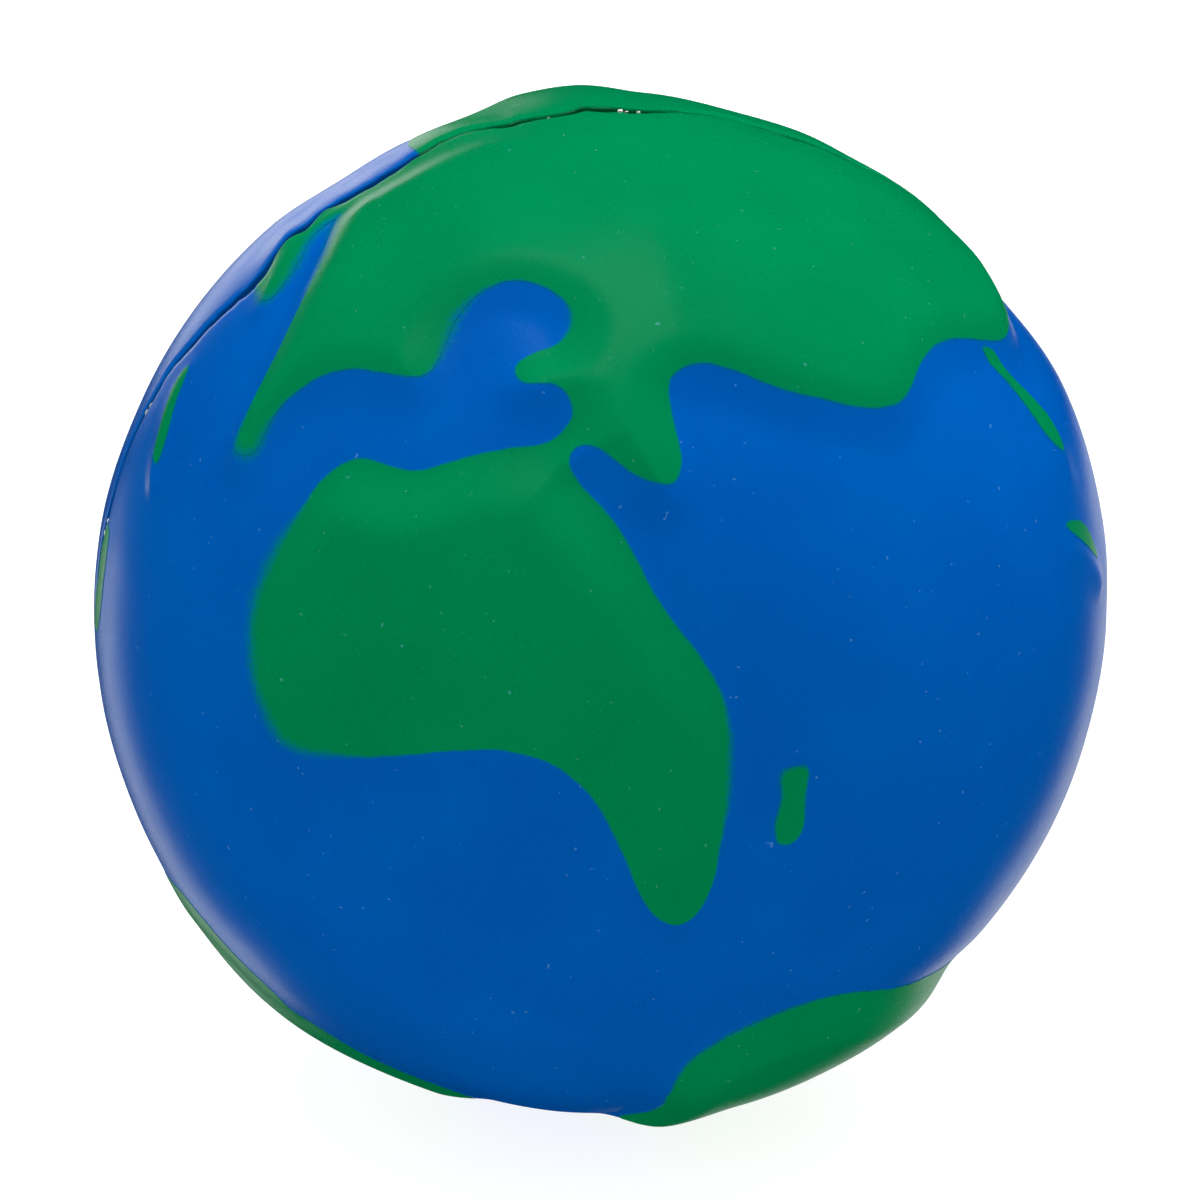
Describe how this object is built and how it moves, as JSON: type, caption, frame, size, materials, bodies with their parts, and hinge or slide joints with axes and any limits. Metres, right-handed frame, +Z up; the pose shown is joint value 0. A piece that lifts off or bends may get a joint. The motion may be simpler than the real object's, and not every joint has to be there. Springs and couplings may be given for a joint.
{
  "type": "stress ball",
  "caption": "Squeezable foam ball moulded and sprayed as a simple world globe, with raised green lands on a blue sea and a parting line round it.",
  "frame": {"origin": "centre of the ball", "axes": "-Y through the middle of the front mould half, +Y through the middle of the rear half, XZ is the parting plane, +Z up with the map's north pole leaning towards -X"},
  "size_m": [0.0697, 0.0688, 0.07],
  "materials": {
    "sea_blue": "satin sprayed coat on integral polyurethane skin",
    "land_green": "satin sprayed coat on raised relief",
    "core_foam": "open foam, unpainted",
    "bare_web": "trimmed moulding web, thinly coated"
  },
  "bodies": {
    "rear_half": {"foam_core": "core_foam", "rear_skin": "sea_blue", "parting_line_web": "bare_web", "siberia": "land_green", "japan": "land_green", "philippines": "land_green", "new_guinea": "land_green", "australia": "land_green", "new_zealand": "land_green", "north_america": "land_green", "south_america": "land_green", "antarctica_rear": "land_green"},
    "front_half": {"front_skin": "sea_blue", "europe": "land_green", "western_isles": "land_green", "asia": "land_green", "africa": "land_green", "madagascar": "land_green", "malay_peninsula": "land_green", "sumatra": "land_green", "greenland": "land_green", "newfoundland": "land_green", "brazil": "land_green", "antarctica_front": "land_green"}
  },
  "joints": [
    {"name": "squeeze", "type": "slide", "parent": "rear_half", "child": "front_half", "axis": [0, 1, 0], "range_m": [0, 0.024], "stiffness_N_per_m": 2500, "deforming": ["foam_core", "rear_skin", "parting_line_web", "siberia", "japan", "philippines", "new_guinea", "australia", "new_zealand", "north_america", "south_america", "antarctica_rear", "front_skin", "europe", "western_isles", "asia", "africa", "madagascar", "malay_peninsula", "sumatra", "greenland", "newfoundland", "brazil", "antarctica_front"]}
  ]
}
